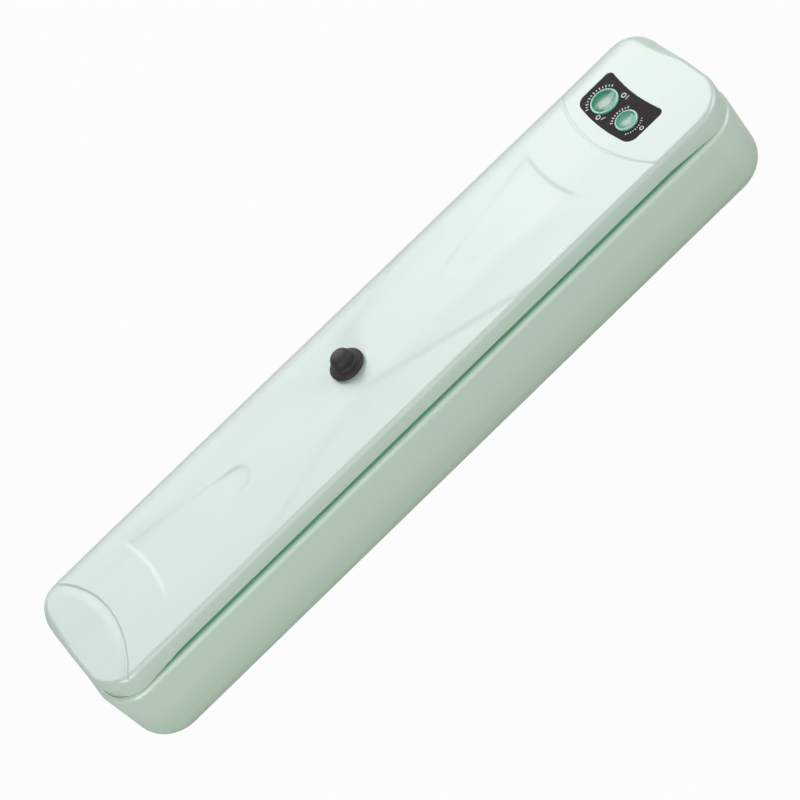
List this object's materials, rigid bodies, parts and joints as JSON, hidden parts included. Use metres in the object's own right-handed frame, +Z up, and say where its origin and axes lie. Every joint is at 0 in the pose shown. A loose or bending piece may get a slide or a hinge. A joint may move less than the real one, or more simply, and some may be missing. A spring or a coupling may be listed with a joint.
{
  "type": "vacuum sealer",
  "caption": "Slim countertop vacuum sealer: tub base with a rear-hinged lid, pull-up release plug and a two-button panel at one end.",
  "frame": {"origin": "middle of the body's footprint, on the surface that its feet stand on", "axes": "+X along the body to the control end, +Y to the hinge at the rear, +Z up"},
  "size_m": [0.3613, 0.081, 0.0622],
  "materials": {
    "shell_green": "fine moulded satin",
    "liner_grey": "fine moulded satin",
    "foam_grey": "closed-cell foam",
    "silicone_white": "silicone",
    "rubber_black": "soft satin",
    "panel_black": "satin film",
    "button_green": "translucent",
    "inner_black": "moulded",
    "inner_white": "moulded",
    "steel": "plain",
    "can_steel": "plated",
    "iron_dark": "pressed",
    "copper_brass": "plain",
    "board_green": "solder mask",
    "heat_tape": "coated glass cloth",
    "bed_fibre": "pressed fibre",
    "hose_clear": "silicone",
    "lead_white": "sheath"
  },
  "bodies": {
    "base": {"base_shell": "shell_green", "rubber_feet": "rubber_black", "base_screws": "steel", "base_deck": "liner_grey", "lower_gasket": "foam_grey", "heater_bed": "bed_fibre", "heater_ribbon": "steel", "heater_tape": "heat_tape", "heater_terminals": "copper_brass", "motor_can": "can_steel", "motor_endcap": "inner_black", "motor_magnets": "iron_dark", "pump_case": "inner_white", "wobble_plate": "inner_white", "pump_diaphragm": "rubber_black", "valve_plate": "inner_white", "pump_cover": "inner_white", "pump_screws": "steel", "pump_sleeve": "silicone_white", "pump_cradle": "inner_white", "pump_strap": "steel", "cradle_screws": "steel", "vacuum_hose": "hose_clear", "vacuum_port": "inner_white", "power_board": "board_green", "board_screws": "steel", "transformer_core": "iron_dark", "transformer_winding": "copper_brass", "capacitors": "can_steel", "heater_relay": "inner_black", "board_headers": "inner_white", "power_inlet": "liner_grey", "inlet_pins": "can_steel", "lid_switch": "inner_black", "mains_leads": "lead_white", "heater_leads": "lead_white", "motor_leads": "lead_white", "control_cable_base": "lead_white", "hinge_pins": "steel"},
    "lid": {"lid_shell": "shell_green", "lid_liner": "liner_grey", "lid_screws": "steel", "upper_gasket": "foam_grey", "pressure_strip": "silicone_white", "control_panel": "panel_black", "control_board": "board_green", "tact_switches": "inner_black", "button_leds": "inner_white", "control_cable_lid": "lead_white"},
    "release": {"release_plug": "rubber_black"},
    "vacuum_key": {"vacuum_button": "button_green", "vacuum_switch_plunger": "inner_black"},
    "seal_key": {"seal_button": "button_green", "seal_switch_plunger": "inner_black"},
    "switch_pin": {"lid_switch_plunger": "inner_black"},
    "rotor": {"motor_shaft": "steel", "motor_armature": "iron_dark", "pump_eccentric": "inner_white"}
  },
  "joints": [
    {"name": "lid_hinge", "type": "hinge", "parent": "base", "child": "lid", "pos_m": [-0.0125, 0.0342, 0.0432], "axis": [-1, 0, 0], "range_deg": [0, 80]},
    {"name": "plug_lift", "type": "slide", "parent": "lid", "child": "release", "axis": [0, 0, 1], "range_m": [0, 0.004]},
    {"name": "vacuum_press", "type": "slide", "parent": "lid", "child": "vacuum_key", "axis": [0, 0, -1], "range_m": [0, 0.0006], "stiffness_N_per_m": 300, "springref_m": -0.001},
    {"name": "seal_press", "type": "slide", "parent": "lid", "child": "seal_key", "axis": [0, 0, -1], "range_m": [0, 0.0006], "stiffness_N_per_m": 300, "springref_m": -0.001},
    {"name": "switch_rise", "type": "slide", "parent": "base", "child": "switch_pin", "axis": [0, 0, 1], "range_m": [0, 0.0015]},
    {"name": "rotor_spin", "type": "hinge", "parent": "base", "child": "rotor", "pos_m": [0.0355, -0.004, 0.0172], "axis": [1, 0, 0], "continuous": true}
  ],
  "couplings": [
    {"joint": "switch_rise", "follows": "lid_hinge", "m_per_rad": 0.00107}
  ]
}
